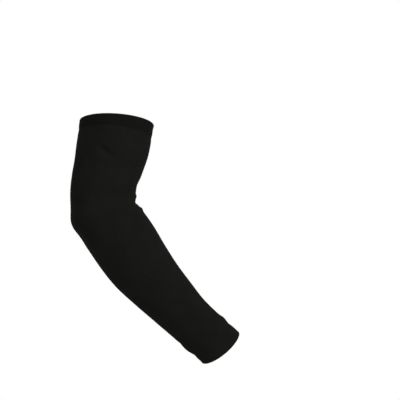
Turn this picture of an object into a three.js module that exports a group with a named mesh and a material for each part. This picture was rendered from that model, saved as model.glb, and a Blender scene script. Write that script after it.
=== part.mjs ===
// An arm compression sleeve of black stretch knit, filled out as on a bent arm, in millimetres.
// The origin is the centre of the upper opening. +Z points up out of it, +X towards the crook of the
// elbow and the forearm, and the arm bends in the XZ plane, so +Y and -Y are its two flat sides.

import * as THREE from 'three';
import { LoftGeometry } from 'three/addons/geometries/LoftGeometry.js';

const sleeveLength = 389; // along the arm's own line, from rim to rim
const clothThickness = 1.2; // one layer of the knit, stretched
const hemWidth = 17; // turned band at the upper opening
const cuffWidth = 19; // turned band at the wrist
const bandThickness = 2.2; // two layers of the knit
const bandProud = 0.5; // how far a band's outer face stands out from the tube's
const seamGap = 0.3; // between a band and the tube
const pointsAround = 40;

// The arm's line: each stretch is an arc, with its length and the degrees it turns towards the crook.
const stretches = [
  { name: 'upper arm', length: 92, turn: -11 },
  { name: 'elbow', length: 52, turn: 53 },
  { name: 'forearm', length: 150, turn: 8 },
  { name: 'wrist', length: 95, turn: 6 },
];

// Half sizes of the arm's section at a distance along its line: from the line out to the elbow's side,
// to the crook's side and to each flat side. lean tips the section, in degrees, its crook side further on.
const sections = [
  { along: 0, elbow: 50, crook: 49.6, flat: 52, lean: -1 },
  { along: 18, elbow: 50.8, crook: 50, flat: 51.5, lean: -0.5 },
  { along: 40, elbow: 50.7, crook: 48.6, flat: 50.5, lean: 0 },
  { along: 65, elbow: 49.2, crook: 44.1, flat: 48.5, lean: 0 },
  { along: 88, elbow: 47.8, crook: 41.5, flat: 46, lean: 0 },
  { along: 102, elbow: 45.4, crook: 43.5, flat: 45, lean: 0 },
  { along: 114, elbow: 45, crook: 43, flat: 44.5, lean: 0 },
  { along: 126, elbow: 46.5, crook: 43, flat: 44.5, lean: 0 },
  { along: 140, elbow: 47, crook: 43.1, flat: 44, lean: 0 },
  { along: 156, elbow: 47.3, crook: 44.4, flat: 43, lean: 0 },
  { along: 182, elbow: 48.5, crook: 44.5, flat: 42, lean: 0 },
  { along: 216, elbow: 48.2, crook: 41, flat: 40, lean: 0 },
  { along: 250, elbow: 44, crook: 37.7, flat: 37, lean: 0 },
  { along: 285, elbow: 39, crook: 35.9, flat: 34, lean: 0 },
  { along: 318, elbow: 35.4, crook: 33.5, flat: 31.5, lean: 0 },
  { along: 346, elbow: 34, crook: 34, flat: 30, lean: 4 },
  { along: 368, elbow: 32.6, crook: 35, flat: 29, lean: 7.5 },
  { along: 389, elbow: 32, crook: 35, flat: 28, lean: 12 },
];

// Folds and dents of the cloth. rise is the height in mm, below zero for a crease; width is the half
// width along the arm in mm and reach the half width round it in degrees. around is 0 at the crook,
// 180 at the elbow, and 270 and 90 on the near and far flat sides. slant is how many mm the fold climbs
// towards the wrist for each 10 degrees round.
const folds = [
  { name: 'upper arm crease', along: 54, around: 237, rise: -3.2, width: 5, reach: 12, slant: 4.4 },
  { name: 'small crease under the hem', along: 47, around: 308, rise: -0.7, width: 4, reach: 12, slant: 0 },
  { name: 'flare of the upper rim', along: 0, around: 345, rise: 1.1, width: 4, reach: 60, slant: 0 },
  { name: 'hollow above the crook', along: 80, around: 340, rise: -1.1, width: 8, reach: 40, slant: 0 },
  { name: 'near ridge above the crook', along: 90, around: 270, rise: 2.4, width: 14, reach: 45, slant: -1.8 },
  { name: 'far ridge above the crook', along: 90, around: 90, rise: 2, width: 13, reach: 42, slant: 1.8 },
  { name: 'roll in the crook', along: 104, around: 0, rise: 1.1, width: 12, reach: 50, slant: 0 },
  { name: 'near dent beside the roll', along: 111, around: 272, rise: -1.5, width: 7, reach: 18, slant: 0 },
  { name: 'far dent beside the roll', along: 113, around: 90, rise: -1.4, width: 7, reach: 20, slant: 1 },
  { name: 'crease in the crook', along: 130, around: 0, rise: -1.9, width: 8, reach: 45, slant: 0 },
  { name: 'point of the elbow', along: 128, around: 180, rise: 3.2, width: 8, reach: 50, slant: 0 },
  { name: 'near side of the elbow', along: 137, around: 214, rise: 5.5, width: 26, reach: 26, slant: 0 },
  { name: 'dip below the elbow', along: 141, around: 180, rise: -1, width: 7, reach: 45, slant: 0 },
  { name: 'near dent below the crook', along: 137, around: 268, rise: -0.9, width: 7, reach: 20, slant: 2 },
  { name: 'far dent below the crook', along: 140, around: 84, rise: -0.9, width: 7, reach: 22, slant: -2 },
  { name: 'small roll below the crook', along: 152, around: 350, rise: 1.8, width: 3.2, reach: 30, slant: 0 },
  { name: 'flat of the forearm', along: 240, around: 225, rise: -2.5, width: 40, reach: 30, slant: 0 },
  { name: 'gather above the cuff, crook', along: 358, around: 352, rise: 1.3, width: 6, reach: 30, slant: 0 },
  { name: 'gather above the cuff, elbow', along: 354, around: 172, rise: 1.4, width: 9, reach: 35, slant: 0 },
  { name: 'crease above that gather', along: 339, around: 172, rise: -0.5, width: 3.5, reach: 30, slant: 0 },
  { name: 'crease above the cuff seam', along: 360, around: 252, rise: -1.5, width: 3.5, reach: 24, slant: 0.9 },
  { name: 'flare of the wrist rim', along: 389, around: 172, rise: 0.6, width: 4, reach: 50, slant: 0 },
  { name: 'hem seam, all round', along: 17, around: 0, rise: -0.5, width: 4, reach: 2000, slant: 0 },
  { name: 'cuff seam, all round', along: 370, around: 0, rise: -0.7, width: 4, reach: 2000, slant: 0 },
];

// Where the walls have their rings: the distance between rings, up to each distance along the arm.
const ringSpacings = [
  { upTo: hemWidth, spacing: 4 },
  { upTo: 76, spacing: 7 },
  { upTo: 120, spacing: 5 },
  { upTo: 160, spacing: 4 },
  { upTo: 336, spacing: 9.5 },
  { upTo: sleeveLength, spacing: 4.5 },
];

// The point and heading of the arm's line at a distance along it; the last stretch's arc runs on.
function armLine(along) {
  let x = 0;
  let z = 0;
  let heading = 0;
  let left = along;
  for (const [i, stretch] of stretches.entries()) {
    const turnPerMm = THREE.MathUtils.degToRad(stretch.turn) / stretch.length;
    const step = i === stretches.length - 1 ? left : Math.min(left, stretch.length);
    const halfTurn = (turnPerMm * step) / 2;
    const chord = (step * Math.sin(halfTurn)) / halfTurn || step;
    x += chord * Math.sin(heading + halfTurn);
    z -= chord * Math.cos(heading + halfTurn);
    heading += 2 * halfTurn;
    left -= step;
    if (left <= 0) break;
  }
  return { x, z, heading };
}

// One column of the sections table at a distance along the arm: a cubic through the rows, whose slope
// at a row is the mean of the slopes either side of it, weighted by distance.
function sectionValue(column, along) {
  const last = sections.length - 1;
  const slope = (i) => {
    const before = Math.max(i - 1, 0);
    const after = Math.min(i + 1, last);
    const rise = (a, b) => (sections[b][column] - sections[a][column]) / (sections[b].along - sections[a].along);
    if (before === i || after === i) return rise(before, after);
    const back = sections[i].along - sections[before].along;
    const on = sections[after].along - sections[i].along;
    return (rise(before, i) * on + rise(i, after) * back) / (back + on);
  };
  let i = 0;
  while (i < last - 1 && along > sections[i + 1].along) i++;
  const span = sections[i + 1].along - sections[i].along;
  const t = (along - sections[i].along) / span;
  return (
    (2 * t ** 3 - 3 * t ** 2 + 1) * sections[i][column] +
    (t ** 3 - 2 * t ** 2 + t) * span * slope(i) +
    (3 * t ** 2 - 2 * t ** 3) * sections[i + 1][column] +
    (t ** 3 - t ** 2) * span * slope(i + 1)
  );
}

// The height of all the folds at a place on the cloth: each is a bell across and a bell along its run.
function foldHeight(along, around) {
  let height = 0;
  for (const fold of folds) {
    const turned = ((around - fold.around + 540) % 360) - 180;
    const off = along - fold.along - (fold.slant * turned) / 10;
    height += fold.rise * Math.exp(-((off / fold.width) ** 2) - (turned / fold.reach) ** 2);
  }
  return height;
}

// A point of the cloth, moved out square to the section by the given amount.
function clothPoint(along, around, out) {
  const angle = THREE.MathUtils.degToRad(around);
  const side = sectionValue(Math.cos(angle) > 0 ? 'crook' : 'elbow', along);
  const flat = sectionValue('flat', along);
  const normal = new THREE.Vector2(Math.cos(angle) / side, Math.sin(angle) / flat).normalize();
  const height = out + foldHeight(along, around);
  const across = side * Math.cos(angle) + normal.x * height;
  const deep = flat * Math.sin(angle) + normal.y * height;
  const lean = THREE.MathUtils.degToRad(sectionValue('lean', along));
  const line = armLine(along + across * Math.tan(lean));
  return new THREE.Vector3(line.x + across * Math.cos(line.heading), deep, line.z + across * Math.sin(line.heading));
}

// One ring of points round the sleeve.
function clothRing(along, out) {
  const ring = [];
  for (let i = 0; i < pointsAround; i++) ring.push(clothPoint(along, 360 - (360 * i) / pointsAround, out));
  return ring;
}

// Distances along the arm for a wall's rings, evenly spread inside each row of ringSpacings.
function ringPlaces(from, to) {
  const places = [from];
  for (const { upTo, spacing } of ringSpacings) {
    const start = places.at(-1);
    const end = Math.min(upTo, to);
    const count = Math.round((end - start) / spacing);
    for (let i = 1; i <= count; i++) places.push(start + ((end - start) * i) / count);
  }
  places[places.length - 1] = to;
  return places;
}

// A closed wall of cloth from one distance along the arm to another: out along its outer face, round
// the far edge, back along its inner face and round the near edge. An edge is square where its bulge
// is 0, and otherwise a rounded fold whose middle stands that far past its faces.
function clothWall(from, to, outerFace, thickness, bulgeFrom, bulgeTo) {
  const middle = outerFace - thickness / 2;
  const places = ringPlaces(from + bulgeFrom, to - bulgeTo);
  const rings = places.map((along) => clothRing(along, outerFace));
  if (bulgeTo > 0) rings.push(clothRing(to, middle));
  rings.push(...places.reverse().map((along) => clothRing(along, outerFace - thickness)));
  if (bulgeFrom > 0) rings.push(clothRing(from, middle));
  rings.push(rings[0].map((point) => point.clone()));
  return new LoftGeometry(rings, { closed: true, capStart: false, capEnd: false });
}

function knitMaterial(color) {
  return new THREE.MeshStandardMaterial({ color, roughness: 0.85, metalness: 0 });
}

function sleeveTube() {
  const from = hemWidth + seamGap;
  const to = sleeveLength - cuffWidth - seamGap;
  const tube = new THREE.Mesh(clothWall(from, to, 0, clothThickness, 0, 0), knitMaterial(0x1b1b1a));
  tube.name = 'sleeve_tube';
  return tube;
}

function upperArmHem() {
  const wall = clothWall(0, hemWidth, bandProud, bandThickness, bandThickness / 2, 0);
  const hem = new THREE.Mesh(wall, knitMaterial(0x181817));
  hem.name = 'upper_arm_hem';
  return hem;
}

function wristCuff() {
  const wall = clothWall(sleeveLength - cuffWidth, sleeveLength, bandProud, bandThickness, 0, bandThickness / 2);
  const cuff = new THREE.Mesh(wall, knitMaterial(0x181817));
  cuff.name = 'wrist_cuff';
  return cuff;
}

const sleeve = new THREE.Group();
sleeve.add(sleeveTube(), upperArmHem(), wristCuff());

export default sleeve;
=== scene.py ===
# An arm compression sleeve in black stretch jersey, filled out as on a bent arm.
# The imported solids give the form; here the same surface is worked out finely, with its stitching and knit.
import math
import bpy
import numpy as np
from mathutils import Matrix, Vector


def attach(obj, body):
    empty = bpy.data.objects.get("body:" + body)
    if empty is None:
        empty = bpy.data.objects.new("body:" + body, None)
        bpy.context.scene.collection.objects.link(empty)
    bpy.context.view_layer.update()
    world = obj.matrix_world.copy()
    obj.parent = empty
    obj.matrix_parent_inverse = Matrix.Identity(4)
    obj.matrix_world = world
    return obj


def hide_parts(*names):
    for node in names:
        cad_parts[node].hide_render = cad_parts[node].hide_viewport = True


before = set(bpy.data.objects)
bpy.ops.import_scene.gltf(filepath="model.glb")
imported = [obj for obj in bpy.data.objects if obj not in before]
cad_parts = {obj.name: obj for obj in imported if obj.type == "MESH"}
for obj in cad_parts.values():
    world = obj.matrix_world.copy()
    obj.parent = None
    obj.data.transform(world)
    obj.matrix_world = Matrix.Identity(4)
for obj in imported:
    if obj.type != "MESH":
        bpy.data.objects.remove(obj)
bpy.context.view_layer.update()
mm = 0.001
print("frame loaded:", ", ".join(sorted(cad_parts)))


# The camera stands low on the elbow's side and looks a little up. aim is the point in the middle of the
# picture; angles are in degrees, lengths in metres, and the lens and its sensor in mm.
cameraSettings = {"azimuth": -28.1, "elevation": -9.8, "roll": 3.6, "distance": 1.05,
                  "aim": (0.1168, -0.043, -0.0982), "lens": 67.5, "sensor": 36.0, "farthest": 20}


# Unit vectors to the right, up and back of a camera at an azimuth and elevation: back points from what it
# sees to the camera, right is level and square to it, and a roll turns right and up about it.
def viewAxes(azimuth, elevation, roll=0.0):
    azimuth, elevation, roll = (math.radians(angle) for angle in (azimuth, elevation, roll))
    back = Vector((math.sin(azimuth) * math.cos(elevation), -math.cos(azimuth) * math.cos(elevation),
                   math.sin(elevation)))
    right = (-back).cross(Vector((0, 0, 1))).normalized()
    up = right.cross(-back)
    return right * math.cos(roll) + up * math.sin(roll), up * math.cos(roll) - right * math.sin(roll), back


# The camera stands at its distance from the aim, straight back along its view.
def addCamera(settings):
    right, up, back = viewAxes(settings["azimuth"], settings["elevation"], settings["roll"])
    data = bpy.data.cameras.new("camera")
    data.lens = settings["lens"]
    data.sensor_width = settings["sensor"]
    data.clip_end = settings["farthest"]
    camera = bpy.data.objects.new("camera", data)
    bpy.context.collection.objects.link(camera)
    place = Matrix((right, up, back)).transposed().to_4x4()
    place.translation = Vector(settings["aim"]) + back * settings["distance"]
    camera.matrix_world = place
    bpy.context.scene.camera = camera


addCamera(cameraSettings)
print("camera placed")


# The form that a bent arm gives the sleeve, in mm. stretches are arcs of its middle line, from the upper
# opening to the wrist, each with its length and the degrees it turns towards the crook of the elbow.
# sections are half sizes at distances along that line, out to the elbow's side, the crook's side and each
# flat side; lean tips a section, in degrees, its crook side further on.
arm = {
    "stretches": {
        "length": (92, 52, 150, 95),
        "turn": (-11, 53, 8, 6),
    },
    "sections": {
        "along": (0, 18, 40, 65, 88, 102, 114, 126, 140, 156, 182, 216, 250, 285, 318, 346, 368, 389),
        "elbow": (50, 50.8, 50.7, 49.2, 47.8, 45.4, 45, 46.5, 47, 47.3, 48.5, 48.2, 44, 39, 35.4, 34,
                  32.6, 32),
        "crook": (49.6, 50, 48.6, 44.1, 41.5, 43.5, 43, 43, 43.1, 44.4, 44.5, 41, 37.7, 35.9, 33.5, 34,
                  35, 35),
        "flat": (52, 51.5, 50.5, 48.5, 46, 45, 44.5, 44.5, 44, 43, 42, 40, 37, 34, 31.5, 30, 29, 28),
        "lean": (-1, -0.5, 0, 0, 0, 0, 0, 0, 0, 0, 0, 0, 0, 0, 0, 4, 7.5, 12),
    },
}

# Folds of the cloth, in mm and degrees: distance along, place round (0 crook, 90 far side, 180 elbow,
# 270 near side), height, half width along, half width round, and climb along for each 10 degrees round.
folds = [
    # along, around, rise, width, reach, slant
    (54, 237, -3.2, 5, 12, 4.4),        # upper arm crease
    (47, 308, -0.7, 4, 12, 0),          # small crease under the hem
    (0, 345, 1.1, 4, 60, 0),            # flare of the upper rim
    (80, 340, -1.1, 8, 40, 0),          # hollow above the crook
    (90, 270, 2.4, 14, 45, -1.8),       # near ridge above the crook
    (90, 90, 2, 13, 42, 1.8),           # far ridge above the crook
    (104, 0, 1.1, 12, 50, 0),           # roll in the crook
    (111, 272, -1.5, 7, 18, 0),         # near dent beside the roll
    (113, 90, -1.4, 7, 20, 1),          # far dent beside the roll
    (130, 0, -1.9, 8, 45, 0),           # crease in the crook
    (128, 180, 3.2, 8, 50, 0),          # point of the elbow
    (137, 268, -0.9, 7, 20, 2),         # near dent below the crook
    (140, 84, -0.9, 7, 22, -2),         # far dent below the crook
    (152, 350, 1.8, 3.2, 30, 0),        # small roll below the crook
    (137, 214, 5.5, 26, 26, 0),         # near side of the elbow
    (141, 180, -1, 7, 45, 0),           # dip below the elbow
    (240, 225, -2.5, 40, 30, 0),        # flat of the forearm
    (358, 352, 1.3, 6, 30, 0),          # gather above the cuff, crook
    (354, 172, 1.4, 9, 35, 0),          # gather above the cuff, elbow
    (339, 172, -0.5, 3.5, 30, 0),       # crease above that gather
    (389, 172, 0.6, 4, 50, 0),          # flare of the wrist rim
    (360, 252, -1.5, 3.5, 24, 0.9),     # crease above the cuff seam
    (17, 0, -0.5, 4, 2000, 0),          # hem seam, all round
    (370, 0, -0.7, 4, 2000, 0),         # cuff seam, all round
]

# Relief too small for the solids, in mm: waves round the sleeve where a seam gathers the knit, and a slow
# drift of the whole cloth. loft is how far the knit's filaments stand out from it.
relief = {
    "seams": (17, 370),
    "waves": (47, 37),         # how many go round at each seam
    "waveHeight": 0.16,
    "waveReach": 7,
    "sway": 1.3,               # radians by which the waves crowd and spread
    "sways": 5,                # how often round they do so
    "drift": 0.22,
    "driftSines": [
        # mm along for a radian, turns round, start in radians
        (23, 2, 0),
        (31, -3, 1.1),
        (14, 1, 2.4),
    ],
    "loft": 0.3,
}


# The middle line at distances along it. Each stretch is an arc: its chord is the length times the sine of
# half the turn over half the turn, laid at the heading of the arc's middle; the last arc runs on.
def armLine(along):
    lengths = np.array(arm["stretches"]["length"], float)
    turns = np.radians(arm["stretches"]["turn"])
    starts = np.concatenate([[0], np.cumsum(lengths)[:-1]])
    headings = np.concatenate([[0], np.cumsum(turns)[:-1]])
    half = turns / 2
    chords = lengths * np.sin(half) / half
    startX = np.concatenate([[0], np.cumsum(chords * np.sin(headings + half))[:-1]])
    startZ = np.concatenate([[0], np.cumsum(-chords * np.cos(headings + half))[:-1]])
    at = np.clip(np.searchsorted(starts, along, side="right") - 1, 0, len(lengths) - 1)
    step = along - starts[at]
    halfTurn = turns[at] / lengths[at] * step / 2
    chord = step * np.sinc(halfTurn / np.pi)
    middle = headings[at] + halfTurn
    return startX[at] + chord * np.sin(middle), startZ[at] - chord * np.cos(middle), middle + halfTurn


# One column of the sections at distances along: a cubic between rows, with each row's slope the mean of
# the slopes on its two sides, weighted by distance.
def sectionValue(column, along):
    rows = np.array(arm["sections"]["along"], float)
    values = np.array(arm["sections"][column], float)
    slopes = np.gradient(values, rows)
    at = np.clip(np.searchsorted(rows, along, side="right") - 1, 0, len(rows) - 2)
    span = rows[at + 1] - rows[at]
    t = (along - rows[at]) / span
    return ((2 * t**3 - 3 * t**2 + 1) * values[at] + (t**3 - 2 * t**2 + t) * span * slopes[at]
            + (3 * t**2 - 2 * t**3) * values[at + 1] + (t**3 - t**2) * span * slopes[at + 1])


# Height of the folds: each is its rise times a bell across it and a bell round the sleeve.
def foldHeight(along, around):
    height = np.zeros(along.shape)
    for foldAlong, foldAround, rise, width, reach, slant in folds:
        turned = (around - foldAround + 180) % 360 - 180
        off = along - foldAlong - slant * turned / 10
        height += rise * np.exp(-(off / width) ** 2 - (turned / reach) ** 2)
    return height


# Height of the fine relief: at each seam a sine round the sleeve, whose angle sways by another sine and
# whose height fades by a bell along it, and the mean of the slow sines that run both along and round.
def reliefHeight(along, around):
    turn = np.radians(around)
    height = np.zeros(along.shape)
    for seam, waves in zip(relief["seams"], relief["waves"]):
        fade = np.exp(-((along - seam) / relief["waveReach"]) ** 2)
        sway = relief["sway"] * np.sin(relief["sways"] * turn)
        height += relief["waveHeight"] * fade * np.sin(waves * turn + sway + seam)
    sines = [np.sin(along / length + turns * turn + start) for length, turns, start in relief["driftSines"]]
    return height + relief["drift"] * (sum(sines) / len(sines)) + relief["loft"]


# The cloth in metres: an ellipse with its own half width on the elbow's and the crook's side, moved out
# square to itself by the fold, the relief and the amount given, and set square to the middle line.
def clothPoint(along, around, out):
    along, around, out = np.broadcast_arrays(along, around, out)
    turn = np.radians(around)
    side = np.where(np.cos(turn) > 0, sectionValue("crook", along), sectionValue("elbow", along))
    flat = sectionValue("flat", along)
    normal = np.stack([np.cos(turn) / side, np.sin(turn) / flat])
    normal /= np.sqrt((normal**2).sum(0))
    height = out + foldHeight(along, around) + reliefHeight(along, around)
    across = side * np.cos(turn) + normal[0] * height
    deep = flat * np.sin(turn) + normal[1] * height
    x, z, heading = armLine(along + across * np.tan(np.radians(sectionValue("lean", along))))
    return np.stack([x + across * np.cos(heading), deep, z + across * np.sin(heading)], -1) * mm


# A smooth piece of the scene from vertices and faces.
def addPiece(name, vertices, faces):
    mesh = bpy.data.meshes.new(name)
    mesh.from_pydata(vertices, [], faces)
    mesh.polygons.foreach_set("use_smooth", np.ones(len(mesh.polygons), bool))
    mesh.update()
    piece = bpy.data.objects.new(name, mesh)
    bpy.context.collection.objects.link(piece)
    return piece


# A piece from rings of points, shape (rings, points round, 3): each ring is joined to the next by quads,
# and the last to the first, so the surface is closed both ways. In its UV map, in metres, u goes once
# round in the given width and v is the mean distance run from ring to ring.
def closedTube(name, rings, width):
    ringCount, around = rings.shape[:2]
    ring, point = np.indices((ringCount, around)).reshape(2, -1, 1)
    cornerRing = ring + np.array([0, 1, 1, 0])
    cornerPoint = point + np.array([0, 0, 1, 1])
    quads = cornerRing % ringCount * around + cornerPoint % around
    piece = addPiece(name, rings.reshape(-1, 3), quads)
    steps = np.linalg.norm(np.roll(rings, -1, 0) - rings, axis=-1).mean(1)
    run = np.concatenate([[0], np.cumsum(steps)])
    uv = np.stack([cornerPoint / around * width, run[cornerRing]], -1)
    piece.data.uv_layers.new(name="cloth").data.foreach_set("uv", uv.reshape(-1))
    return piece


# The knit's columns of stitches, or wales, and its rows, or courses, in mm. The real wales are about 0.8 mm
# apart; they are drawn three times as wide, as wide as they must be to show.
knit = {
    "wales": 108,
    "waleWidth": 2.5,
    "courseHeight": 2.1,
    "legClimb": 0.9,           # courses that a stitch's leg climbs from the wale's middle to its edge
    "legDepth": 0.45,          # how deep the legs are against the wales
    "relief": 0.22,
    "strength": 0.45,          # how strongly that relief turns the light
}
clothWidth = knit["wales"] * knit["waleWidth"] * mm

# The tube, in mm: where it starts and ends along the arm, each end tucked inside a band, how far its
# outer face stands out at both ends, its wall, and how round its cut edges are.
tubeWall = {"start": 15.8, "end": 371.2, "faces": (0, 0), "thickness": 1.2, "edgeStart": 0.35,
            "edgeEnd": 0.35, "outerRings": 264, "innerRings": 100, "padding": 0, "rowAt": 19.6, "pinch": 0.12}

# The turned bands, in mm. The rim is a fold, as round as half the wall; padding is how much the two
# layers swell between rim and seam, and pinch is how far the row of stitches at rowAt draws them in.
hemWall = {"start": 0, "end": 17, "faces": (0.9, 0.15), "thickness": 2.2, "edgeStart": 0.6, "edgeEnd": 0.4,
           "outerRings": 64, "innerRings": 26, "padding": 0.12, "rowAt": 14.2, "pinch": 0.2}
cuffWall = {"start": 370, "end": 389, "faces": (0.15, 0.5), "thickness": 2.2, "edgeStart": 0.4,
            "edgeEnd": 0.6, "outerRings": 64, "innerRings": 26, "padding": 0.12, "rowAt": 372.8, "pinch": 0.2}
pinchWidth = 0.9
pointsAround = 240
edgeRings = 7


# How far a wall's outer face stands out, between its values at both ends.
def faceAt(wall, along):
    return np.interp(along, (wall["start"], wall["end"]), wall["faces"])


# A wall of cloth as rings: out along its outer face, round the far edge in half an ellipse, back along its
# inner face and round the near edge. The outer face swells by a half sine and is pinched by a bell.
def wallRings(wall):
    first, last = wall["start"] + wall["edgeStart"], wall["end"] - wall["edgeEnd"]
    half = wall["thickness"] / 2
    outer = np.linspace(first, last, wall["outerRings"])
    inner = np.linspace(last, first, wall["innerRings"])
    swell = wall["padding"] * np.sin(np.pi * (outer - first) / (last - first))
    pinch = wall["pinch"] * np.exp(-((outer - wall["rowAt"]) / pinchWidth) ** 2)
    bend = np.linspace(0, np.pi, edgeRings + 2)[1:-1]
    along = np.concatenate([outer, last + wall["edgeEnd"] * np.sin(bend), inner,
                            first - wall["edgeStart"] * np.sin(bend)])
    out = faceAt(wall, along) - half + np.concatenate([half + swell - pinch, half * np.cos(bend),
                                                       np.full(len(inner), -half), -half * np.cos(bend)])
    around = np.arange(pointsAround) * 360 / pointsAround
    return clothPoint(along[:, None], around, out[:, None])


tube = closedTube("jersey_tube", wallRings(tubeWall), clothWidth)
hem = closedTube("upper_hem_band", wallRings(hemWall), clothWidth)
cuff = closedTube("wrist_cuff_band", wallRings(cuffWall), clothWidth)
print("cloth made:", sum(len(piece.data.polygons) for piece in (tube, hem, cuff)), "quads")


# The seams' needle stitches, in mm: two rows beside each seam, of short stitches that lie in the cloth.
stitching = {
    "hemRows": (14.2, 19.6),
    "cuffRows": (367.4, 372.8),
    "rowTurns": (0, 0.4),      # degrees by which each row is turned
    "length": 2.5,
    "spacing": 3.3,
    "thread": 0.42,
    "raised": 0.06,            # how far the thread's middle lies outside the cloth
    "dive": 0.3,               # how far its ends go down
    "rings": (-0.9, -0.55, 0, 0.55, 0.9),    # where its rings lie, with -1 and 1 at the ends
}

# The looper thread, in mm, which zigzags between the two needle rows inside.
looper = {
    "thread": 0.34,
    "pointsPerStitch": 8,
    "flatness": 0.7,           # power of the sine, below 1 for flattened tops
    "sunk": 0.05,              # how far its middle lies inside the wall's inner face
}
threadSides = 6


# The girth of the sleeve, in mm, at a distance along it: the sum of its steps round, one to a degree.
def girth(along):
    ring = clothPoint(float(along), np.linspace(0, 360, 361), 0.0)
    return np.linalg.norm(np.diff(ring, axis=0), axis=-1).sum() / mm


# The wall that lies outermost at a distance along the sleeve, as its outer and inner heights there.
def wallHeights(along):
    walls = (hemWall, tubeWall, cuffWall)
    at = (along > hemWall["end"]).astype(int) + (along > cuffWall["start"])
    outer = np.choose(at, [faceAt(wall, along) - wall["pinch"] for wall in walls])
    return outer, outer - np.choose(at, [wall["thickness"] - wall["pinch"] for wall in walls])


# Rows of stitches in one mesh. Each is a capsule of rings round a thread whose radius falls off to its
# ends as the root of one less t to the fourth, and its line dives into the cloth by t to the fourth.
def stitchRows(name, rows):
    places = []
    for row, rowTurn in zip(rows, stitching["rowTurns"]):
        count = round(girth(row) / stitching["spacing"])
        places += [(row, 360 * i / count + rowTurn) for i in range(count)]
    rowAlong, rowAround = np.array(places).T[:, :, None]
    t = np.array(stitching["rings"])
    side = np.arange(threadSides) * math.tau / threadSides
    radius = stitching["thread"] / 2 * np.sqrt(1 - t**4)
    ringT = np.repeat(t[:, None], threadSides, 1)
    alongOffset = np.concatenate([[0], (radius[:, None] * np.sin(side)).ravel(), [0]])
    outOffset = np.concatenate([[0], (radius[:, None] * np.cos(side)).ravel(), [0]])
    lineT = np.concatenate([[-1], ringT.ravel(), [1]])
    turnPerMm = 360 / girth(rows[0])
    along = rowAlong + alongOffset
    around = rowAround + lineT * stitching["length"] / 2 * turnPerMm
    out = wallHeights(along)[0] + stitching["raised"] - stitching["dive"] * lineT**4 + outOffset
    vertices = clothPoint(along, around, out)
    ring, point = np.indices((len(t) - 1, threadSides)).reshape(2, -1, 1)
    quads = (1 + (ring + np.array([0, 0, 1, 1])) * threadSides
             + (point + np.array([0, 1, 1, 0])) % threadSides)
    here = np.arange(threadSides)
    after = (here + 1) % threadSides
    farPole = lineT.size - 1
    lastRing = farPole - threadSides
    nearFan = np.stack([0 * here, 1 + after, 1 + here], -1)
    farFan = np.stack([0 * here + farPole, lastRing + here, lastRing + after], -1)
    starts = np.arange(len(places))[:, None, None] * lineT.size
    faces = [face for part in (quads, nearFan, farFan)
             for face in (starts + part).reshape(-1, part.shape[1]).tolist()]
    return addPiece(name, vertices.reshape(-1, 3), faces)


# The looper thread: its path is a sine with flattened tops round the inside, between the two needle rows,
# and its sections are rings square to that path. The way out is found a millimetre further out.
def looperThread(name, rows, seam):
    count = round(girth(seam) / stitching["spacing"])
    path = np.arange(count * looper["pointsPerStitch"]) / looper["pointsPerStitch"]
    swing = np.sin(math.tau * path)
    flattened = np.sign(swing) * np.abs(swing) ** looper["flatness"]
    along = (rows[0] + rows[1]) / 2 + (rows[1] - rows[0]) / 2 * flattened
    around = path / count * 360
    out = wallHeights(along)[1] - looper["sunk"]
    centre = clothPoint(along, around, out)
    normal = clothPoint(along, around, out + 1) - centre
    tangent = np.roll(centre, -1, 0) - np.roll(centre, 1, 0)
    tangent /= np.linalg.norm(tangent, axis=-1, keepdims=True)
    normal -= tangent * (normal * tangent).sum(-1, keepdims=True)
    normal /= np.linalg.norm(normal, axis=-1, keepdims=True)
    across = np.cross(normal, tangent)
    turn = (np.arange(threadSides) * math.tau / threadSides)[None, :, None]
    radius = looper["thread"] / 2 * mm
    rings = centre[:, None] + radius * (np.cos(turn) * normal[:, None] + np.sin(turn) * across[:, None])
    return closedTube(name, rings, math.tau * radius)


threads = [
    stitchRows("hem_stitches", stitching["hemRows"]),
    stitchRows("cuff_stitches", stitching["cuffRows"]),
    looperThread("hem_looper_thread", stitching["hemRows"], hemWall["end"]),
    looperThread("cuff_looper_thread", stitching["cuffRows"], cuffWall["start"]),
]
print("thread made:", ", ".join(piece.name for piece in threads))


# A colour given as sRGB hex, turned to linear by the standard sRGB curve.
def linear(hexColour):
    channels = [int(hexColour[i:i + 2], 16) / 255 for i in (1, 3, 5)]
    return tuple(c / 12.92 if c <= 0.04045 else ((c + 0.055) / 1.055) ** 2.4 for c in channels) + (1.0,)


# Adds a node, sets its properties, and sets or links its inputs.
def addNode(tree, kind, properties=None, inputs=None):
    node = tree.nodes.new(kind)
    for name, value in (properties or {}).items():
        setattr(node, name, value)
    for key, value in (inputs or {}).items():
        if isinstance(value, bpy.types.NodeSocket):
            tree.links.new(value, node.inputs[key])
        else:
            node.inputs[key].default_value = value
    return node


# A new material's node tree and its shader, with the shader's own sockets set.
def newMaterial(name, inputs):
    material = bpy.data.materials.new(name)
    material.use_nodes = True
    shader = material.node_tree.nodes["Principled BSDF"]
    for key, value in inputs.items():
        shader.inputs[key].default_value = value
    return material, material.node_tree, shader


# How the jersey looks. Its tone mottles over 25 mm from uneven stretch and over 3 mm from uneven filaments;
# toneFrom and toneTo are where the two noises together give its darker and its lighter black.
jersey = {
    "shader": {"Roughness": 0.82, "IOR": 1.5, "Specular IOR Level": 0.015},
    "mottling": {"Scale": 40.0, "Detail": 3.0},
    "filament": {"Scale": 330.0, "Detail": 2.0},
    "filamentShare": 0.5,
    "toneFrom": 0.5,
    "toneTo": 1.0,
    "plain": ("#161614", "#1a1a18"),
    # The upper hem band is drawn in darker blacks than the tube and the cuff.
    "hem": ("#131311", "#161615"),
}


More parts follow.
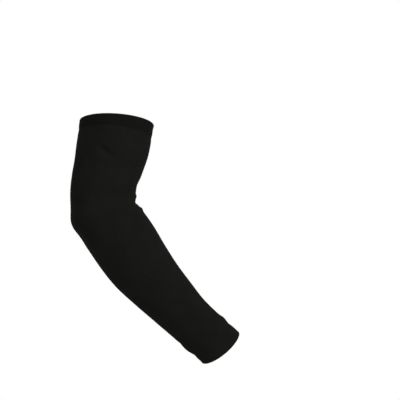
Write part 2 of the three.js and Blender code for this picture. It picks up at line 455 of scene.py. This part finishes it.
# Circular-knit jersey of nylon and elastane, dyed black: the crimped filaments scatter light, so it looks
# matt, with a faint soft sheen where it turns away. Each stitch is a V: the sine of the courses run, plus
# the climb of its legs, gives its two legs, and the cosine of the wales run gives the columns.
def jerseyMaterial(name, blacks):
    material, tree, shader = newMaterial(name, jersey["shader"])
    uv = addNode(tree, "ShaderNodeUVMap", {"uv_map": "cloth"})
    uvParts = addNode(tree, "ShaderNodeSeparateXYZ", None, {0: uv.outputs["UV"]})
    waleTurns = addNode(tree, "ShaderNodeMath", {"operation": "DIVIDE"},
                        {0: uvParts.outputs["X"], 1: knit["waleWidth"] * mm})
    offCentre = addNode(tree, "ShaderNodeMath", {"operation": "PINGPONG"}, {0: waleTurns.outputs[0], 1: 0.5})
    courseTurns = addNode(tree, "ShaderNodeMath", {"operation": "DIVIDE"},
                          {0: uvParts.outputs["Y"], 1: knit["courseHeight"] * mm})
    # The wale's edge is half a turn from its middle, so the climb to it is doubled.
    legTurns = addNode(tree, "ShaderNodeMath", {"operation": "MULTIPLY_ADD"},
                       {0: offCentre.outputs[0], 1: 2 * knit["legClimb"], 2: courseTurns.outputs[0]})
    legAngle = addNode(tree, "ShaderNodeMath", {"operation": "MULTIPLY"},
                       {0: legTurns.outputs[0], 1: math.tau})
    legs = addNode(tree, "ShaderNodeMath", {"operation": "SINE"}, {0: legAngle.outputs[0]})
    waleAngle = addNode(tree, "ShaderNodeMath", {"operation": "MULTIPLY"},
                        {0: waleTurns.outputs[0], 1: math.tau})
    wales = addNode(tree, "ShaderNodeMath", {"operation": "COSINE"}, {0: waleAngle.outputs[0]})
    height = addNode(tree, "ShaderNodeMath", {"operation": "MULTIPLY_ADD"},
                     {0: legs.outputs[0], 1: knit["legDepth"], 2: wales.outputs[0]})
    objectPlace = addNode(tree, "ShaderNodeTexCoord")
    mottling = addNode(tree, "ShaderNodeTexNoise", None,
                       {"Vector": objectPlace.outputs["Object"], **jersey["mottling"]})
    filament = addNode(tree, "ShaderNodeTexNoise", None,
                       {"Vector": objectPlace.outputs["Object"], **jersey["filament"]})
    tone = addNode(tree, "ShaderNodeMath", {"operation": "MULTIPLY_ADD"},
                   {0: filament.outputs["Fac"], 1: jersey["filamentShare"], 2: mottling.outputs["Fac"]})
    toneRange = addNode(tree, "ShaderNodeMapRange", None,
                        {"Value": tone.outputs[0], "From Min": jersey["toneFrom"],
                         "From Max": jersey["toneTo"]})
    colour = addNode(tree, "ShaderNodeMix", {"data_type": "RGBA"},
                     {"Factor": toneRange.outputs[0], 6: linear(blacks[0]), 7: linear(blacks[1])})
    bump = addNode(tree, "ShaderNodeBump", None,
                   {"Strength": knit["strength"], "Distance": knit["relief"] * mm,
                    "Height": height.outputs[0]})
    tree.links.new(colour.outputs[2], shader.inputs["Base Color"])
    tree.links.new(bump.outputs["Normal"], shader.inputs["Normal"])
    return material


# How the sewing thread looks: its fibres' noise is 1.1 mm across, and their relief is in mm.
threadLook = {
    "shader": {"Roughness": 0.6, "IOR": 1.5, "Specular IOR Level": 0.08},
    "fibre": {"Scale": 900.0, "Detail": 2.0},
    "relief": 0.05,
    "strength": 0.4,
    "blacks": ("#121211", "#1a1a18"),
}


# Textured polyester sewing thread, dyed black: smoother filaments than the jersey's, so it catches a
# little more light.
def threadMaterial(look):
    material, tree, shader = newMaterial("textured polyester thread, black", look["shader"])
    objectPlace = addNode(tree, "ShaderNodeTexCoord")
    fibre = addNode(tree, "ShaderNodeTexNoise", None,
                    {"Vector": objectPlace.outputs["Object"], **look["fibre"]})
    colour = addNode(tree, "ShaderNodeMix", {"data_type": "RGBA"},
                     {"Factor": fibre.outputs["Fac"], 6: linear(look["blacks"][0]),
                      7: linear(look["blacks"][1])})
    bump = addNode(tree, "ShaderNodeBump", None,
                   {"Strength": look["strength"], "Distance": look["relief"] * mm,
                    "Height": fibre.outputs["Fac"]})
    tree.links.new(colour.outputs[2], shader.inputs["Base Color"])
    tree.links.new(bump.outputs["Normal"], shader.inputs["Normal"])
    return material


plainCloth = jerseyMaterial("nylon elastane jersey, black", jersey["plain"])
# The upper hem band gets the darker blacks; the cuff keeps the tube's.
hemCloth = jerseyMaterial("nylon elastane jersey, black, darker upper hem", jersey["hem"])
thread = threadMaterial(threadLook)
for piece, cloth in zip([tube, hem, cuff] + threads, [plainCloth, hemCloth, plainCloth] + [thread] * 4):
    piece.data.materials.append(cloth)
print("materials made")


# The pale floor, in metres. It lies under the sleeve, which is held up at its upper opening, and outside
# the picture.
floorSettings = {"centre": (0.08, 0.0, -0.55), "radius": 1.35, "corners": 96, "colour": "#e9e9e7",
                 "shader": {"Roughness": 0.9, "Specular IOR Level": 0.1}}

# One soft studio light: place is to the right, up and back of the camera's aim, in metres, and the power
# is in watts.
lights = [
    {"name": "key softbox", "place": (0.7, 1.0, 0.95), "size": 0.9, "power": 12.9},
]
worldLight = {"background": "#ffffff", "ambient": 0.6}


# The floor is a disc with many corners.
def addFloor(settings):
    turn = np.arange(settings["corners"]) * math.tau / settings["corners"]
    rim = np.stack([np.cos(turn), np.sin(turn), 0 * turn], -1) * settings["radius"] + settings["centre"]
    floor = addPiece("studio_floor", rim, [list(range(len(rim)))])
    material, tree, shader = newMaterial("matt paper floor", settings["shader"])
    shader.inputs["Base Color"].default_value = linear(settings["colour"])
    floor.data.materials.append(material)
    return floor


# A light is a disc that faces the camera's aim.
def addLight(settings):
    right, up, back = viewAxes(cameraSettings["azimuth"], cameraSettings["elevation"])
    data = bpy.data.lights.new(settings["name"], "AREA")
    data.shape = "DISK"
    data.size = settings["size"]
    data.energy = settings["power"]
    light = bpy.data.objects.new(settings["name"], data)
    bpy.context.collection.objects.link(light)
    aim = Vector(cameraSettings["aim"])
    rightStep, upStep, backStep = settings["place"]
    light.location = aim + right * rightStep + up * upStep + back * backStep
    light.rotation_euler = (light.location - aim).to_track_quat("Z", "Y").to_euler()


# The world is white to the eye and dim as a light, so the black cloth isn't washed out.
def setWorld(settings):
    world = bpy.data.worlds.new("studio")
    world.use_nodes = True
    tree = world.node_tree
    tree.nodes.clear()
    seen = addNode(tree, "ShaderNodeBackground", None, {"Color": linear(settings["background"])})
    lit = addNode(tree, "ShaderNodeBackground", None, {"Color": linear(settings["background"]),
                                                       "Strength": settings["ambient"]})
    path = addNode(tree, "ShaderNodeLightPath")
    mixed = addNode(tree, "ShaderNodeMixShader", None, {0: path.outputs["Is Camera Ray"],
                                                        1: lit.outputs[0], 2: seen.outputs[0]})
    addNode(tree, "ShaderNodeOutputWorld", None, {"Surface": mixed.outputs[0]})
    bpy.context.scene.world = world


floor = addFloor(floorSettings)
for light in lights:
    addLight(light)
setWorld(worldLight)
bpy.context.scene.view_settings.view_transform = "Standard"
print("floor and lights placed")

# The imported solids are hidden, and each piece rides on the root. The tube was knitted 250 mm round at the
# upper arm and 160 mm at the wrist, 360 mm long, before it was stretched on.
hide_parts("sleeve_tube")
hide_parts("upper_arm_hem")
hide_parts("wrist_cuff")
for piece in [tube, hem, cuff] + threads:
    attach(piece, "root")
